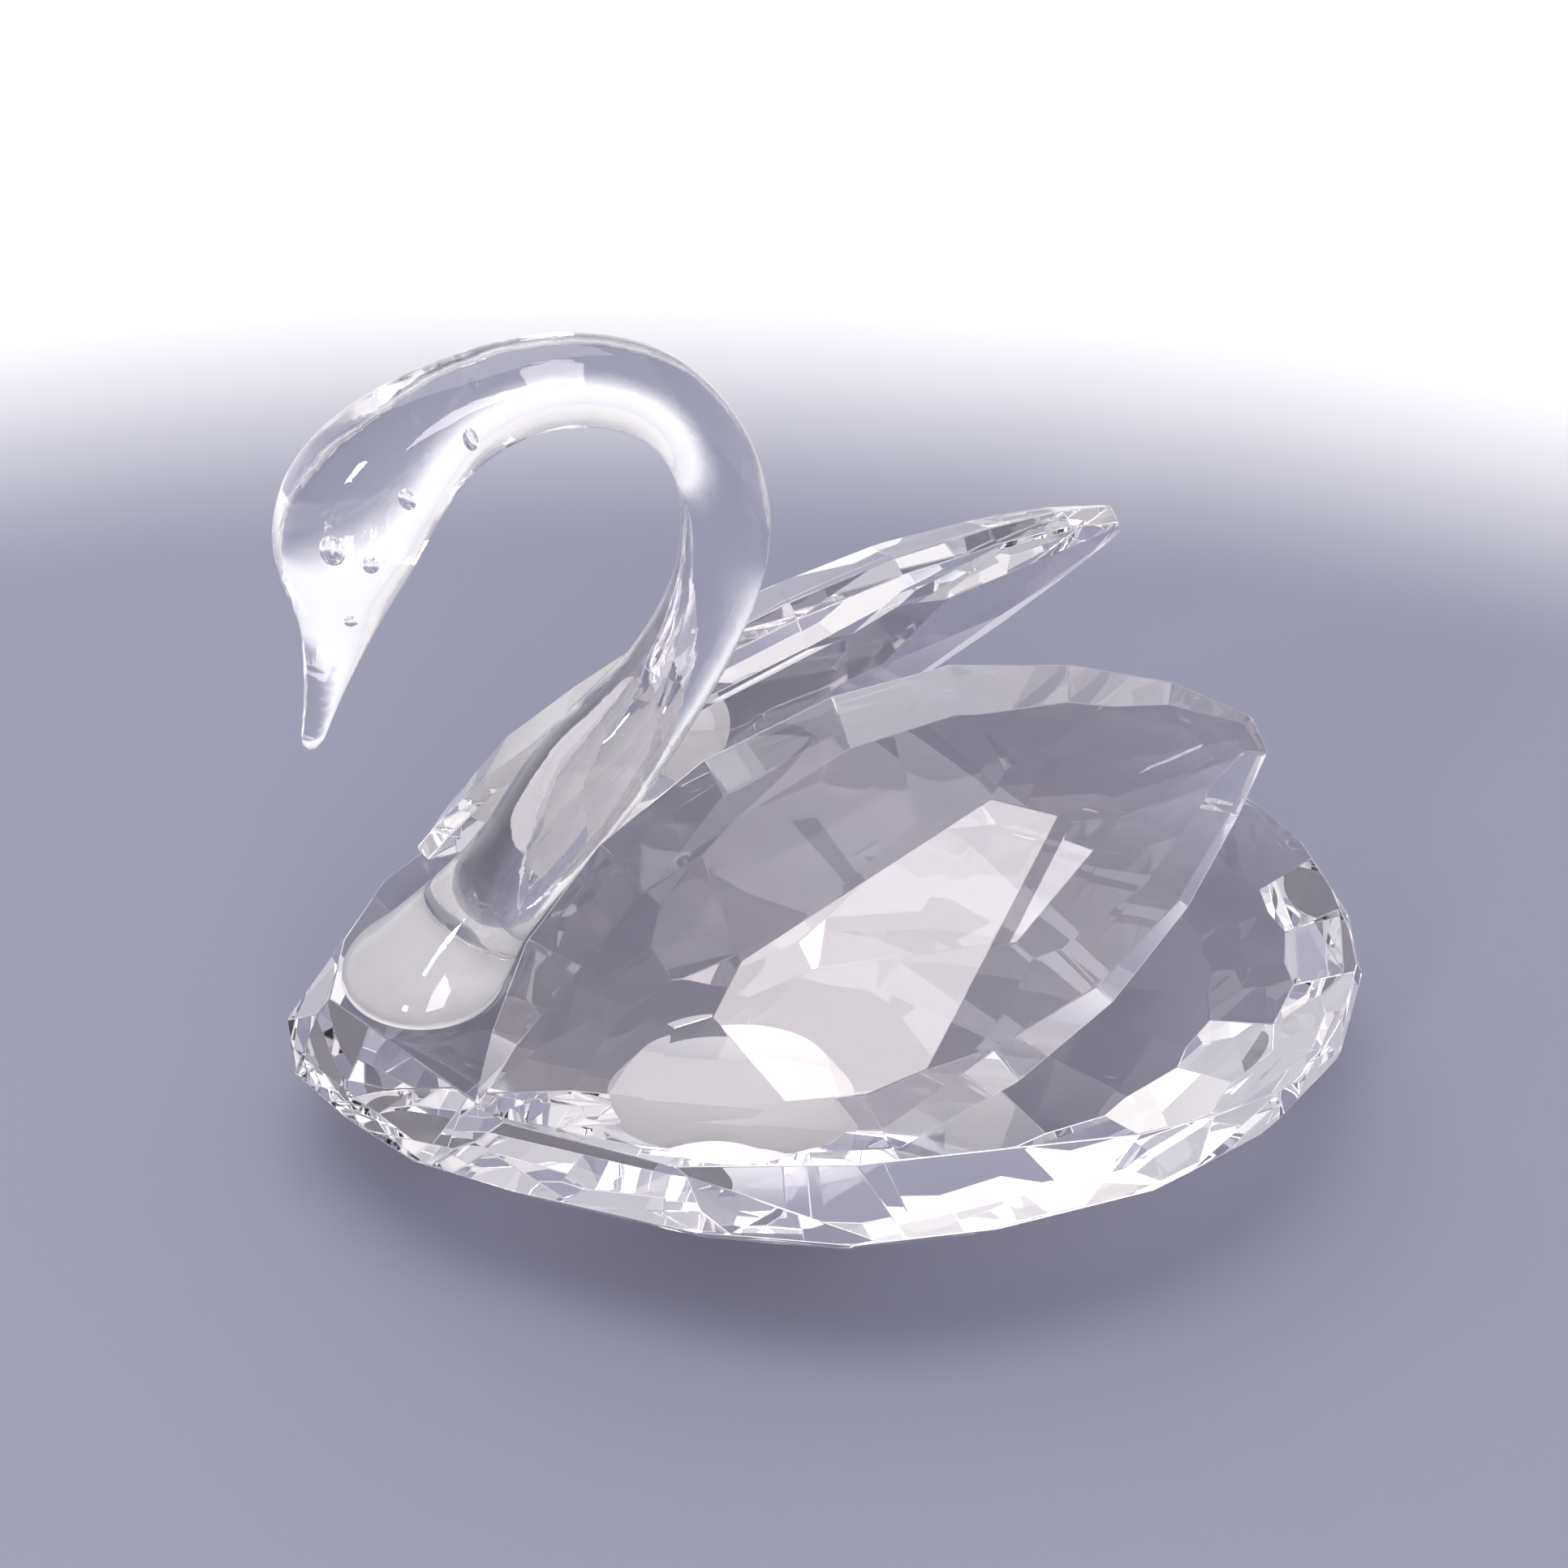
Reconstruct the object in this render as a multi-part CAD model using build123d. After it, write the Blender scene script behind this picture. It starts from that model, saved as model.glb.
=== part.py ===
"""Crystal glass swan: a faceted pear-shaped body, two faceted leaf wings and a drawn glass neck.

Frame: origin under the middle of the figurine on its resting plane, +Z up, +Y from beak to tail,
+X to the swan's left. Lengths in mm. Every crystal is a block of glass with flat facets cut off it,
so each one is a convex solid. The neck is one smooth rod of drawn glass with a flared foot.
"""

import os
from math import atan2, cos, degrees, radians, sin, tan

from build123d import *

# ---- heights -------------------------------------------------------------------------------
TOP_Z = 8.0            # polished flat top of the body
FILM = 0.10            # clear adhesive film under the neck and under each wing
SEAT_Z = TOP_Z + FILM  # ground feet of the neck and wings stand on the film

# ---- body ----------------------------------------------------------------------------------
# Half of the widest line of the body, from the front tip to the tail: X half width, Y, and how
# far the upper side facet behind each corner leans in from upright (degrees).
GIRDLE = [
    (1.9, -25.00, 30), (5.8, -22.80, 25), (9.1, -20.20, 12), (12.9, -14.60, 9), (16.2, -8.60, 26),
    (18.1, -2.60, 50), (18.3, 4.20, 42), (17.4, 10.60, 15), (15.0, 16.10, 12), (11.3, 20.70, 15),
    (6.4, 23.80, 25), (2.0, 25.00, 35),
]
FRONT_LEAN = 25        # the small facet across the front tip
GIRDLE_Z_FRONT = 4.7   # the widest line climbs towards the tail
GIRDLE_Z_TAIL = 7.0
KITE_LEAN = 9.0        # the small corner facets lean in this much more than their neighbours
# Three rows of facets under the widest line: where each starts, as a share of the line's height,
# and its degrees from level. The first and last rows sit under the sides, the second under the
# corners between them.
BELLY = [(1.0, 47.0), (0.54, 27.0), (0.25, 12.0)]
BASE_Z = 0.0

# ---- wings ---------------------------------------------------------------------------------
WING_ROOT = (9.15, -17.77, 7.72)  # front point of the left wing's middle plane
WING_RISE = 25.2                  # degrees the wing climbs towards the tail
WING_LEAN = 37.9                  # degrees the wing leans in over the body
# Outline about the wing's own long axis: distance from the front point, then the half widths
# above and below the axis.
WING_OUTLINE = [
    (0.0, 0.4, 0.4), (2.0, 2.8, 2.8), (5.0, 5.6, 5.4), (9.5, 7.9, 7.8), (15.0, 9.2, 9.0),
    (21.0, 9.25, 8.6), (26.0, 8.3, 7.3), (30.5, 6.1, 5.1), (34.0, 3.6, 2.6), (36.3, 0.9, 0.7),
]
WING_EDGE = 0.9        # thickness of the upright edge all round
BEVEL_OUTER = 38.0     # degrees of the narrow facets along the edge, on the outer face
BEVEL_INNER = 20.0     # and on the inner face
# Large facets of each wing face: a point of the facet (distance from the front, distance up
# from the long axis, height off the middle plane), the way it falls away (degrees from the
# long axis, turning towards the upper edge) and how steeply it falls.
WING_OUTER = [
    ((13.0, 0.0, 3.50), -48.0, 7.7), ((10.8, -0.6, 3.64), 123.5, 11.7), ((17.1, 1.6, 3.29), 70.0, 9.6),
    ((23.8, -1.7, 2.36), -50.2, 13.2), ((10.0, 0.0, 3.60), 180.0, 17.0), ((11.0, -2.5, 3.30), -135.0, 13.0),
    ((27.0, 3.0, 2.40), 45.0, 13.0), ((30.0, 0.0, 1.80), 0.0, 10.0),
]
WING_INNER = [
    ((15.0, 0.8, 2.5), 88.0, 11.0), ((15.0, -0.5, 2.5), -92.0, 12.0), ((15.0, 0.0, 2.5), 0.0, 3.5),
    ((9.0, 0.0, 2.5), 180.0, 13.0), ((10.8, 0.6, 2.5), -127.0, 12.0), ((10.5, 2.0, 2.4), 130.0, 13.0),
    ((23.8, 1.7, 2.0), 53.0, 12.0), ((30.0, 0.0, 1.55), 0.0, 8.0), ((27.0, -2.0, 1.7), -50.0, 11.0),
]

# ---- neck and head -------------------------------------------------------------------------
# Flared foot: (Y, Z, tilt back from level in degrees, half length, half width).
FOOT = [
    (-18.95, SEAT_Z, 0.0, 3.60, 3.80), (-18.80, 8.60, 2.0, 3.62, 3.80), (-18.10, 9.35, 10.0, 3.22, 3.40),
    (-17.30, 10.25, 20.0, 2.80, 2.92), (-16.50, 11.20, 29.0, 2.50, 2.58),
]
# Rod above the foot: (Y, Z, half depth, width over depth), up the neck and out to the beak.
ROD = [
    (-15.5, 12.4, 2.35, 1.00), (-12.9, 16.1, 2.45, 1.00), (-10.6, 19.3, 2.45, 1.00), (-8.4, 22.4, 2.05, 1.00),
    (-6.8, 25.5, 1.90, 1.00), (-5.9, 29.4, 1.90, 1.00), (-6.9, 33.7, 1.75, 1.00), (-9.3, 36.2, 1.82, 1.00),
    (-12.7, 37.0, 1.90, 1.00), (-16.0, 36.3, 2.12, 0.98), (-18.8, 34.5, 2.70, 0.92), (-20.9, 32.0, 3.15, 0.87),
    (-21.6, 29.7, 2.80, 0.86), (-21.8, 27.9, 2.10, 0.89), (-22.1, 26.0, 1.40, 0.95), (-22.7, 23.4, 0.84, 1.00),
    (-23.1, 21.8, 0.62, 1.00), (-23.3, 21.0, 0.44, 1.00), (-23.4, 20.7, 0.20, 1.00),
]

# ---- adhesive under each wing --------------------------------------------------------------
POOL_CENTRE = (10.2, -7.0)   # X, Y: clear adhesive pooled under the wing, seen through it
POOL_HALF_WIDTH = 4.5
POOL_HALF_LENGTH = 4.9
POOL_HEIGHT = 1.5            # it climbs into the wedge between the wing's inner face and the body
POOL_TAPER = 35.0            # degrees its free surface leans in from upright


def keep_inside(solid, point, normal):
    """Cut off everything on the far side of a facet through point, normal pointing out."""
    return split(solid, bisect_by=Plane(origin=point, z_dir=normal), keep=Keep.BOTTOM)


def girdle_z(y):
    """Height of the body's widest line at a station along the swan."""
    share = (y - GIRDLE[0][1]) / (GIRDLE[-1][1] - GIRDLE[0][1])
    return GIRDLE_Z_FRONT + share * (GIRDLE_Z_TAIL - GIRDLE_Z_FRONT)


def facet_normal(heading, climb):
    """Unit normal that points along a compass heading in the XY plane, climbing by an angle."""
    level = cos(radians(climb))
    return (level * cos(radians(heading)), level * sin(radians(heading)), sin(radians(climb)))


def edge_headings(ring):
    """Compass heading straight out of each side of a ring of corners, in degrees."""
    pairs = zip(ring, ring[1:] + ring[:1])
    return [degrees(atan2(-(end[0] - start[0]), end[1] - start[1])) for start, end in pairs]


def cut_belly(body, x, y, heading, row):
    """Cut the belly facet of one row that lies under the point x, y of the widest line."""
    z = girdle_z(y)
    inset = 0
    for (upper, slope), (lower, _) in zip(BELLY[:row], BELLY[1:]):
        inset += (upper - lower) * z / tan(radians(slope))
    out_x, out_y, _ = facet_normal(heading, 0)
    share, slope = BELLY[row]
    start = (x - inset * out_x, y - inset * out_y, share * z)
    return keep_inside(body, start, facet_normal(heading, slope - 90))


def make_body():
    """Pear-shaped crystal with a flat top, leaning side facets and a cut-away belly."""
    left = [(x, y) for x, y, _ in GIRDLE]
    ring = left + [(-x, y) for x, y in reversed(left)]
    leans = [lean for _, _, lean in GIRDLE]
    leans += leans[-2::-1] + [FRONT_LEAN]
    headings = edge_headings(ring)
    body = extrude(make_face(Polyline(*ring, close=True)), amount=TOP_Z)
    for i, side in enumerate(headings):
        (x0, y0), (x1, y1) = ring[i], ring[(i + 1) % len(ring)]
        x, y = (x0 + x1) / 2, (y0 + y1) / 2
        body = keep_inside(body, (x, y, girdle_z(y)), facet_normal(side, leans[i]))
        body = cut_belly(body, x, y, side, 0)
        body = cut_belly(body, x, y, side, 2)
    for i, (x, y) in enumerate(ring):
        turn = (headings[i] - headings[i - 1] + 180) % 360 - 180
        corner = headings[i - 1] + turn / 2
        if i % 2:
            lean = (leans[i] + leans[i - 1]) / 2 + KITE_LEAN
            body = keep_inside(body, (x, y, girdle_z(y)), facet_normal(corner, lean))
        body = cut_belly(body, x, y, corner, 1)
    return keep_inside(body, (0, 0, BASE_Z), (0, 0, -1))


def make_wing():
    """Left wing: a leaf-shaped crystal, faceted on both faces, its lower edge ground flat."""
    ring = [(s, -low) for s, _, low in WING_OUTLINE] + [(s, up) for s, up, _ in reversed(WING_OUTLINE)]
    outer_z = max(point[2] for point, _, _ in WING_OUTER)
    inner_z = max(point[2] for point, _, _ in WING_INNER)
    leaf = Pos(0, 0, -inner_z) * extrude(make_face(Polyline(*ring, close=True)), amount=inner_z + outer_z)
    for side, bevel, facets in ((1, BEVEL_OUTER, WING_OUTER), (-1, BEVEL_INNER, WING_INNER)):
        for i, heading in enumerate(edge_headings(ring)):
            (x0, y0), (x1, y1) = ring[i], ring[(i + 1) % len(ring)]
            nx, ny, nz = facet_normal(heading, 90 - bevel)
            middle = ((x0 + x1) / 2, (y0 + y1) / 2, side * WING_EDGE / 2)
            leaf = keep_inside(leaf, middle, (nx, ny, side * nz))
        for (s, up, height), heading, fall in facets:
            nx, ny, nz = facet_normal(heading, 90 - fall)
            leaf = keep_inside(leaf, (s, up, side * height), (nx, ny, side * nz))
    rise, lean = radians(WING_RISE), radians(WING_LEAN)
    along = (0, cos(rise), sin(rise))
    outward = (cos(lean), -sin(lean) * sin(rise), sin(lean) * cos(rise))
    placed = Plane(origin=WING_ROOT, x_dir=along, z_dir=outward) * leaf
    return keep_inside(placed, (0, 0, SEAT_Z), (0, 0, -1))


def make_neck():
    """Drawn glass rod: flared foot, bent neck, rounded head and a tapering beak."""
    sections = []
    for y, z, tilt, half_length, half_width in FOOT:
        axis = (0, sin(radians(tilt)), cos(radians(tilt)))
        plane = Plane(origin=(0, y, z), x_dir=(1, 0, 0), z_dir=axis)
        sections.append(plane * Ellipse(half_width, half_length))
    points = [FOOT[-1][:2]] + [(y, z) for y, z, _, _ in ROD]
    for i, (y, z, depth, ratio) in enumerate(ROD, start=1):
        (y0, z0), (y1, z1) = points[i - 1], points[min(i + 1, len(ROD))]
        plane = Plane(origin=(0, y, z), x_dir=(1, 0, 0), z_dir=(0, y1 - y0, z1 - z0))
        sections.append(plane * Ellipse(depth * ratio, depth))
    return loft(sections)


def make_neck_bond(neck):
    """Clear adhesive film that fills the gap between the neck's ground foot and the body's top."""
    seat = neck.faces().sort_by(Axis.Z)[0]
    return extrude(seat, amount=FILM, dir=(0, 0, -1))


def make_wing_bond(wing):
    """Clear adhesive pooled between the left wing and the body's top: film under, bead inside."""
    pool = Pos(*POOL_CENTRE, TOP_Z) * Ellipse(POOL_HALF_WIDTH, POOL_HALF_LENGTH)
    bead = extrude(pool, amount=POOL_HEIGHT, taper=POOL_TAPER) - wing
    return bead.solids().sort_by(SortBy.VOLUME)[-1]


def save(name, solid):
    export_step(solid, f"parts/{name}.step")


def main():
    os.makedirs("parts", exist_ok=True)
    left_wing = make_wing()
    left_wing_bond = make_wing_bond(left_wing)
    neck = make_neck()
    save("body_crystal", make_body())
    save("left_wing", left_wing)
    save("right_wing", mirror(left_wing, about=Plane.YZ))
    save("neck_and_head", neck)
    save("left_wing_bond", left_wing_bond)
    save("right_wing_bond", mirror(left_wing_bond, about=Plane.YZ))
    save("neck_bond", make_neck_bond(neck))


main()
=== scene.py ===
"""Looks for the crystal swan: cut crystal with crisp polished edges and a drawn glass neck."""

from math import radians

import bmesh
import bpy
from mathutils import Matrix, Vector, noise


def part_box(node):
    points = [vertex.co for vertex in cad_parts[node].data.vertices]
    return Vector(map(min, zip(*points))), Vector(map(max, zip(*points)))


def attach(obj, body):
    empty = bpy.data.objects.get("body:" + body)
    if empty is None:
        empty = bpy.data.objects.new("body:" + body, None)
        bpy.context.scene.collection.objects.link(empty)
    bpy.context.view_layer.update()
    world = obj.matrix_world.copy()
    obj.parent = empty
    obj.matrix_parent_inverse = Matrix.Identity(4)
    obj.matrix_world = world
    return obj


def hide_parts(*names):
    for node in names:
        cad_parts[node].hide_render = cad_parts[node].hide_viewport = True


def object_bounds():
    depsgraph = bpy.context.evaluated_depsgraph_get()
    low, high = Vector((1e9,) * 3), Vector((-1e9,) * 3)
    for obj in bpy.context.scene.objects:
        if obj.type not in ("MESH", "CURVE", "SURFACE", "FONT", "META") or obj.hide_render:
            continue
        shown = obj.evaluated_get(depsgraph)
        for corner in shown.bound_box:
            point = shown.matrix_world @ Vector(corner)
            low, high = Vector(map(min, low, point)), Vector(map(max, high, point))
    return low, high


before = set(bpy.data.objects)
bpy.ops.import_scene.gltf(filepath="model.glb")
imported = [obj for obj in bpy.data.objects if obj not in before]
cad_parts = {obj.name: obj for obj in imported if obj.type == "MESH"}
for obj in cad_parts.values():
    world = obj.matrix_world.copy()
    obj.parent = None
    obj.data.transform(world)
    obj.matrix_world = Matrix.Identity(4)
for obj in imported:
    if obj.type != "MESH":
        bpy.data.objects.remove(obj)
cad_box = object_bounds()

MM = 0.001

# The figurine.
WELD = 0.0001 * MM            # facets of one node share their corners within this
FLAT_WITHIN = radians(0.3)    # neighbouring facets closer in angle than this are one facet
SLIVER = 0.16 * MM            # facet corners closer than this are one corner
EDGE_ROUND = 0.05 * MM        # what polishing takes off each cut edge
CONTACT = 0.03 * MM           # adhesive wets the glass: its skin reaches this far into it
NECK_VOXEL = 0.16 * MM
NECK_SMOOTHING = 8            # rounds of smoothing that take the voxel steps away
HAND_DRAWN = 0.05 * MM        # how far the rod's skin wanders to either side of its own middle
WANDER_BIAS = 0.5             # share of that by which the middle lies inside the CAD skin
WANDER_LENGTH = 3.5 * MM      # over what length the skin wanders
WANDER_START = 2 * MM         # it wanders fully from this height above the bottom of the foot
STREAK_LENGTH = 12 * MM       # length of the rod that counts as one unit of its streaks
# Middle line of the rod from its foot to the tip of the beak: Y, Z in mm, at X = 0.
ROD_LINE = [
    (-19.0, 8.0), (-15.5, 12.4), (-10.6, 19.3), (-6.8, 25.5), (-5.9, 29.4), (-6.9, 33.7), (-9.3, 36.2),
    (-12.7, 37.0), (-16.0, 36.3), (-18.8, 34.5), (-20.9, 32.0), (-21.8, 27.9), (-23.4, 20.5),
]
# Air bubbles caught in the head: centre X, Y, Z and radius before the stretch, in mm.
BUBBLES = [
    (0.9, -21.9, 31.0, 0.50), (0.7, -19.2, 33.0, 0.34), (0.6, -20.7, 30.3, 0.30), (0.3, -21.5, 27.6, 0.24),
    (0.8, -16.6, 35.4, 0.34),
]
BUBBLE_STRETCH = (0.8, 0.85, 1.2)
NOISE_RANGE = (0.35, 0.70)    # this range of the cloudy noise is stretched over tints and haze

# The studio, in metres.
# Painted shade: the floor is painted gray-blue around the figurine and lightens to white further out,
# standing in for dimmer light in front and brighter light behind.
FLOOR_PAINTED_SHADE = (0.24, 0.242, 0.32)
FLOOR_FAR = (0.90, 0.90, 0.91)
PAINTED_SHADE_MIDDLE = (0.07, -0.02, 0)   # centre of the painted shade, the floor's gray middle on the camera's side
PAINTED_SHADE_FADE = (0.12, 0.165)        # from there to where the painted shade starts and stops lightening to white
FLOOR_RADIUS = 0.4
FLOOR_GAP = 0.02 * MM             # the floor lies this far under the figurine
WORLD_BRIGHT = (1.05, 1.02, 1.02)
WORLD_DIM = (0.60, 0.60, 0.65)
# The surround dims between two values of its direction's Z or Y.
DIM_OVERHEAD = (0, 0.6)
DIM_BEAK_SIDE = (-0.15, -0.55)
ABOVE_HORIZON = (0.02, 0.1)       # below this the beak's side stays bright too
WHITE, WARM = (1, 1, 1), (1, 0.93, 0.92)
# Soft lights: name, place, size, power in W, color.
LIGHTS = [
    ("key", (-0.15, -0.08, 0.6), (0.6, 0.6), 2.4, WHITE),
    ("front", (0.36, -0.02, 0.18), (0.14, 0.12), 0.48, WARM),
    ("window", (0.30, -0.27, 0.19), (0.04, 0.09), 0.4, WHITE),
]
LIGHT_TARGET = (0, 0, 0.015)
CAMERA_PLACE = (0.09661, -0.02939, 0.08667)
CAMERA_RIGHT = (0.2656, 0.9641, 0.0)      # before the camera's roll
CAMERA_UP = (-0.5530, 0.1523, 0.8192)
ROLL_COS, ROLL_SIN = 0.9983, 0.0576       # 3.3 degrees
CAMERA_LENS = 63.54                       # mm, before a sensor 36 mm wide
BOUNCES = 24                              # light crosses many facets inside cut glass
GLOSSY_BOUNCES = 16
TRANSMISSION_BOUNCES = 20


# ---- shader nodes --------------------------------------------------------------------------
def new_material(name):
    """A node material, with its nodes, links and shader."""
    material = bpy.data.materials.new(name)
    material.use_nodes = True
    nodes, links = material.node_tree.nodes, material.node_tree.links
    return material, nodes, links, nodes["Principled BSDF"]


def noise_field(nodes, links, place, scale, detail):
    """Cloudy noise over a vector, returned as its value."""
    cloud = nodes.new("ShaderNodeTexNoise")
    cloud.inputs["Scale"].default_value = scale
    cloud.inputs["Detail"].default_value = detail
    links.new(place, cloud.inputs["Vector"])
    return cloud.outputs["Fac"]


def ramp(nodes, links, value, start, end, low=0, high=1, kind="LINEAR"):
    """A value that goes from low to high while another goes from start to end."""
    fade = nodes.new("ShaderNodeMapRange")
    fade.interpolation_type = kind
    fade.inputs["From Min"].default_value = start
    fade.inputs["From Max"].default_value = end
    fade.inputs["To Min"].default_value = low
    fade.inputs["To Max"].default_value = high
    links.new(value, fade.inputs["Value"])
    return fade.outputs["Result"]


def spread(nodes, links, value, low, high):
    """Noise stretched from NOISE_RANGE onto low to high."""
    return ramp(nodes, links, value, *NOISE_RANGE, low, high)


def combine(nodes, links, operation, first, second):
    """Two values joined by a math operation."""
    math = nodes.new("ShaderNodeMath")
    math.operation = operation
    links.new(first, math.inputs[0])
    links.new(second, math.inputs[1])
    return math.outputs["Value"]


def blend_colors(nodes, links, value, first, second):
    """The first color where value is 0, the second where it is 1."""
    mix = nodes.new("ShaderNodeMixRGB")
    mix.inputs["Color1"].default_value = (*first, 1)
    mix.inputs["Color2"].default_value = (*second, 1)
    links.new(value, mix.inputs["Fac"])
    return mix.outputs["Color"]


def glass(name, ior, clear, tints, haze, relief, scale, detail, attribute=None):
    """Glass whose tint, haze (roughness) and surface relief (m) vary over noise.

    clear is 1 for glass with no milkiness. The noise lies over the vector attribute, or over the
    object's own space if none is given.
    """
    material, nodes, links, shader = new_material(name)
    if attribute:
        source = nodes.new("ShaderNodeAttribute")
        source.attribute_name = attribute
        place = source.outputs["Vector"]
    else:
        place = nodes.new("ShaderNodeTexCoord").outputs["Object"]
    marks = noise_field(nodes, links, place, scale, detail)
    shader.inputs["IOR"].default_value = ior
    shader.inputs["Transmission Weight"].default_value = clear
    tint = blend_colors(nodes, links, spread(nodes, links, marks, 0, 1), *tints)
    links.new(tint, shader.inputs["Base Color"])
    links.new(spread(nodes, links, marks, *haze), shader.inputs["Roughness"])
    bump = nodes.new("ShaderNodeBump")
    bump.inputs["Distance"].default_value = relief
    links.new(marks, bump.inputs["Height"])
    links.new(bump.outputs["Normal"], shader.inputs["Normal"])
    return material


# ---- pieces --------------------------------------------------------------------------------
def new_piece(name, bm, node, material):
    """A piece that rides on the figurine's one body and stands for a CAD node."""
    mesh = bpy.data.meshes.new(name)
    bm.to_mesh(mesh)
    bm.free()
    mesh.materials.append(material)
    piece = bpy.data.objects.new(name, mesh)
    bpy.context.scene.collection.objects.link(piece)
    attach(piece, "root")
    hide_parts(node)
    return piece


def node_copy(node):
    """A CAD node's mesh, its facets joined at their corners."""
    bm = bmesh.new()
    bm.from_mesh(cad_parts[node].data)
    bmesh.ops.remove_doubles(bm, verts=bm.verts, dist=WELD)
    return bm


def cut_crystal(node, material):
    """Flat facets that meet in narrow polished edges."""
    bm = node_copy(node)
    bmesh.ops.dissolve_limit(bm, angle_limit=FLAT_WITHIN, verts=bm.verts, edges=bm.edges)
    bmesh.ops.remove_doubles(bm, verts=bm.verts, dist=SLIVER)
    bmesh.ops.bevel(bm, geom=bm.edges, offset=EDGE_ROUND, segments=2, profile=0.5, affect="EDGES")
    for face in bm.faces:
        face.smooth = True
    piece = new_piece(node + "_polished", bm, node, material)
    weighted = piece.modifiers.new("flat_facets", "WEIGHTED_NORMAL")
    weighted.weight = 100


def nearest_on_rod(point, line):
    """Foot of the perpendicular on the rod's middle line, the direction there, and the length so far."""
    best, so_far = None, 0
    for start, end in zip(line, line[1:]):
        run = end - start
        share = min(1, max(0, (point - start).dot(run) / run.length_squared))
        foot = start + share * run
        if best is None or (point - foot).length < best[0]:
            best = ((point - foot).length, foot, run.normalized(), so_far + share * run.length)
        so_far += run.length
    return best[1:]


def mark_rod(mesh):
    """Store how far round and along the rod each vertex lies: drawing streaks follow the rod."""
    line = [Vector((0, y, z)) * MM for y, z in ROD_LINE]
    place = mesh.attributes.new("rod_place", "FLOAT_VECTOR", "POINT")
    for vertex, entry in zip(mesh.vertices, place.data):
        foot, direction, length = nearest_on_rod(vertex.co, line)
        outward = vertex.co - foot
        side = direction.cross(Vector((1, 0, 0)))
        around = Vector((outward.x, outward.dot(side), 0)).normalized()
        entry.vector = (around.x, around.y, length / STREAK_LENGTH)


def add_bubbles(mesh):
    """Air bubbles: closed skins inside the rod that face inwards."""
    bm = bmesh.new()
    bm.from_mesh(mesh)
    stretch = Matrix.Diagonal((*BUBBLE_STRETCH, 1))
    for x, y, z, radius in BUBBLES:
        centre = Matrix.Translation(Vector((x, y, z)) * MM)
        made = bmesh.ops.create_icosphere(bm, subdivisions=4, radius=radius * MM, matrix=centre @ stretch)
        skin = {face for vertex in made["verts"] for face in vertex.link_faces}
        bmesh.ops.reverse_faces(bm, faces=list(skin))
    bm.to_mesh(mesh)
    bm.free()


def drawn_neck(material):
    """The rod with the slight wander of glass that was drawn and bent by hand."""
    bm = node_copy("neck_and_head")
    piece = new_piece("neck_and_head_drawn", bm, "neck_and_head", material)
    remesh = piece.modifiers.new("even_mesh", "REMESH")
    remesh.mode = "VOXEL"
    remesh.voxel_size = NECK_VOXEL
    smooth = piece.modifiers.new("fire_polish", "SMOOTH")
    smooth.factor = 0.5
    smooth.iterations = NECK_SMOOTHING
    graph = bpy.context.evaluated_depsgraph_get()
    mesh = bpy.data.meshes.new_from_object(piece.evaluated_get(graph))
    piece.modifiers.clear()
    piece.data = mesh
    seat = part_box("neck_and_head")[0].z
    normals = [vertex.normal.copy() for vertex in mesh.vertices]
    for vertex, normal in zip(mesh.vertices, normals):
        free = min(1, max(0, (vertex.co.z - seat) / WANDER_START))
        wander = noise.noise(vertex.co / WANDER_LENGTH)
        vertex.co += normal * (HAND_DRAWN * free * (wander - WANDER_BIAS))
    add_bubbles(mesh)
    mark_rod(mesh)
    for polygon in mesh.polygons:
        polygon.use_smooth = True


def adhesive(node, material):
    """Cured clear adhesive, wetting the glass on both sides of it."""
    bm = node_copy(node)
    bm.normal_update()
    for vertex in bm.verts:
        vertex.co += vertex.normal * CONTACT
    for face in bm.faces:
        face.smooth = False
    new_piece(node + "_cured", bm, node, material)


crystal_glass = glass(
    "cut_crystal", ior=1.55, clear=1, tints=((0.995, 0.955, 0.965), (0.95, 0.955, 0.985)),
    haze=(0, 0.008), relief=0.0003 * MM, scale=220, detail=1,
)
drawn_glass = glass(
    "drawn_glass", ior=1.52, clear=1, tints=((0.97, 0.965, 0.985), (0.94, 0.935, 0.96)),
    haze=(0, 0.01), relief=0.012 * MM, scale=5, detail=3, attribute="rod_place",
)
clear_adhesive = glass(
    "clear_adhesive", ior=1.49, clear=0.12, tints=((0.99, 0.97, 0.975), (0.97, 0.95, 0.955)),
    haze=(0.3, 0.5), relief=0.004 * MM, scale=900, detail=3,
)
for name in ("body_crystal", "left_wing", "right_wing"):
    cut_crystal(name, crystal_glass)
drawn_neck(drawn_glass)
for name in ("neck_bond", "left_wing_bond", "right_wing_bond"):
    adhesive(name, clear_adhesive)


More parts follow.
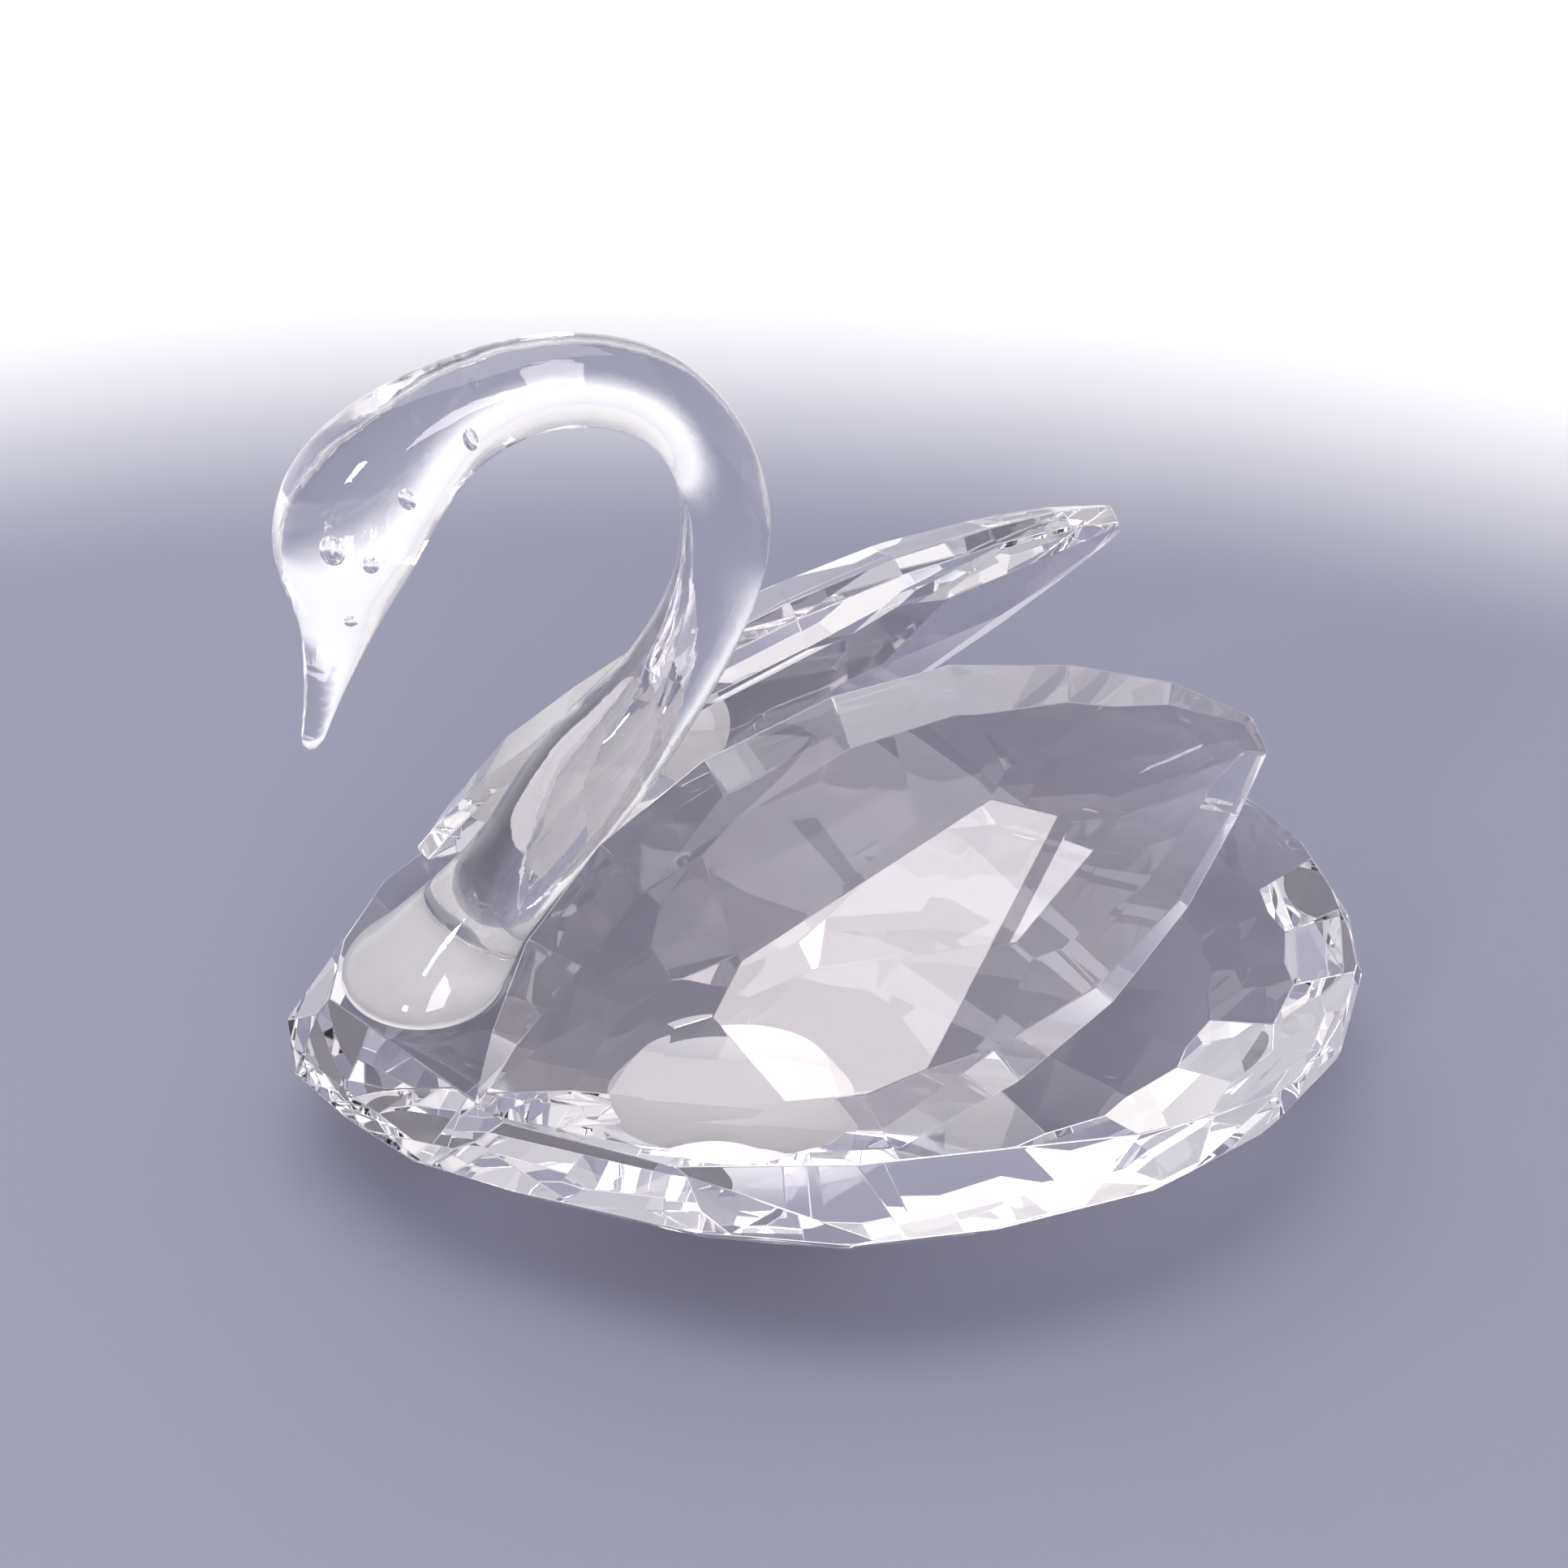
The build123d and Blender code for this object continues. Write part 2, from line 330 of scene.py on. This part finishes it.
# ---- studio --------------------------------------------------------------------------------
def make_floor():
    """Plain pale tabletop just under the figurine, with painted shade: a soft gray middle, standing in for
    dimmer light in front, that lightens to white further out.
    """
    bm = bmesh.new()
    bmesh.ops.create_circle(bm, cap_ends=True, radius=FLOOR_RADIUS, segments=96)
    mesh = bpy.data.meshes.new("floor")
    bm.to_mesh(mesh)
    bm.free()
    floor = bpy.data.objects.new("floor", mesh)
    floor.location.z = cad_box[0].z - FLOOR_GAP
    bpy.context.scene.collection.objects.link(floor)
    material, nodes, links, shader = new_material("floor")
    shader.inputs["Roughness"].default_value = 0.6
    place = nodes.new("ShaderNodeTexCoord")
    away = nodes.new("ShaderNodeVectorMath")
    away.operation = "DISTANCE"
    away.inputs[1].default_value = PAINTED_SHADE_MIDDLE
    links.new(place.outputs["Object"], away.inputs[0])
    # Painted shade: gray-blue around the figurine, fading to the pale floor colour further out, stands in
    # for dimmer light there.
    fade = ramp(nodes, links, away.outputs["Value"], *PAINTED_SHADE_FADE, kind="SMOOTHSTEP")
    shade = blend_colors(nodes, links, fade, FLOOR_PAINTED_SHADE, FLOOR_FAR)
    links.new(shade, shader.inputs["Base Color"])
    mesh.materials.append(material)


def softbox(name, position, size, power, color):
    """A soft rectangular light aimed at the figurine."""
    light = bpy.data.lights.new(name, "AREA")
    light.shape = "RECTANGLE"
    light.size, light.size_y = size
    light.energy = power
    light.color = color
    holder = bpy.data.objects.new(name, light)
    holder.location = position
    aim = Vector(LIGHT_TARGET) - Vector(position)
    holder.rotation_euler = aim.to_track_quat("-Z", "Y").to_euler()
    holder.visible_camera = False
    bpy.context.scene.collection.objects.link(holder)


def make_world():
    """Soft studio surround, bright at the horizon, dimmer overhead and on the side the beak points to."""
    world = bpy.data.worlds.new("studio")
    bpy.context.scene.world = world
    world.use_nodes = True
    nodes, links = world.node_tree.nodes, world.node_tree.links
    place = nodes.new("ShaderNodeTexCoord")
    split = nodes.new("ShaderNodeSeparateXYZ")
    links.new(place.outputs["Generated"], split.inputs["Vector"])
    overhead = ramp(nodes, links, split.outputs["Z"], *DIM_OVERHEAD)
    above_horizon = ramp(nodes, links, split.outputs["Z"], *ABOVE_HORIZON)
    beak_side = ramp(nodes, links, split.outputs["Y"], *DIM_BEAK_SIDE)
    side = combine(nodes, links, "MULTIPLY", above_horizon, beak_side)
    dimmer = combine(nodes, links, "MAXIMUM", overhead, side)
    shade = blend_colors(nodes, links, dimmer, WORLD_BRIGHT, WORLD_DIM)
    links.new(shade, nodes["Background"].inputs["Color"])


def make_camera():
    """Above the swan's left side, a little towards its beak and slightly rolled."""
    right, up = Vector(CAMERA_RIGHT), Vector(CAMERA_UP)
    tilted_right = ROLL_COS * right + ROLL_SIN * up
    tilted_up = ROLL_COS * up - ROLL_SIN * right
    back = tilted_right.cross(tilted_up)
    lens = bpy.data.cameras.new("camera")
    lens.lens = CAMERA_LENS
    lens.sensor_width = 36
    lens.clip_start = 0.005
    camera = bpy.data.objects.new("camera", lens)
    turn = Matrix((tilted_right, tilted_up, back)).transposed()
    camera.matrix_world = Matrix.Translation(CAMERA_PLACE) @ turn.to_4x4()
    bpy.context.scene.collection.objects.link(camera)
    bpy.context.scene.camera = camera


make_floor()
make_world()
make_camera()
for light in LIGHTS:
    softbox(*light)

scene = bpy.context.scene
scene.view_settings.view_transform = "Standard"
scene.cycles.max_bounces = BOUNCES
scene.cycles.glossy_bounces = GLOSSY_BOUNCES
scene.cycles.transmission_bounces = TRANSMISSION_BOUNCES
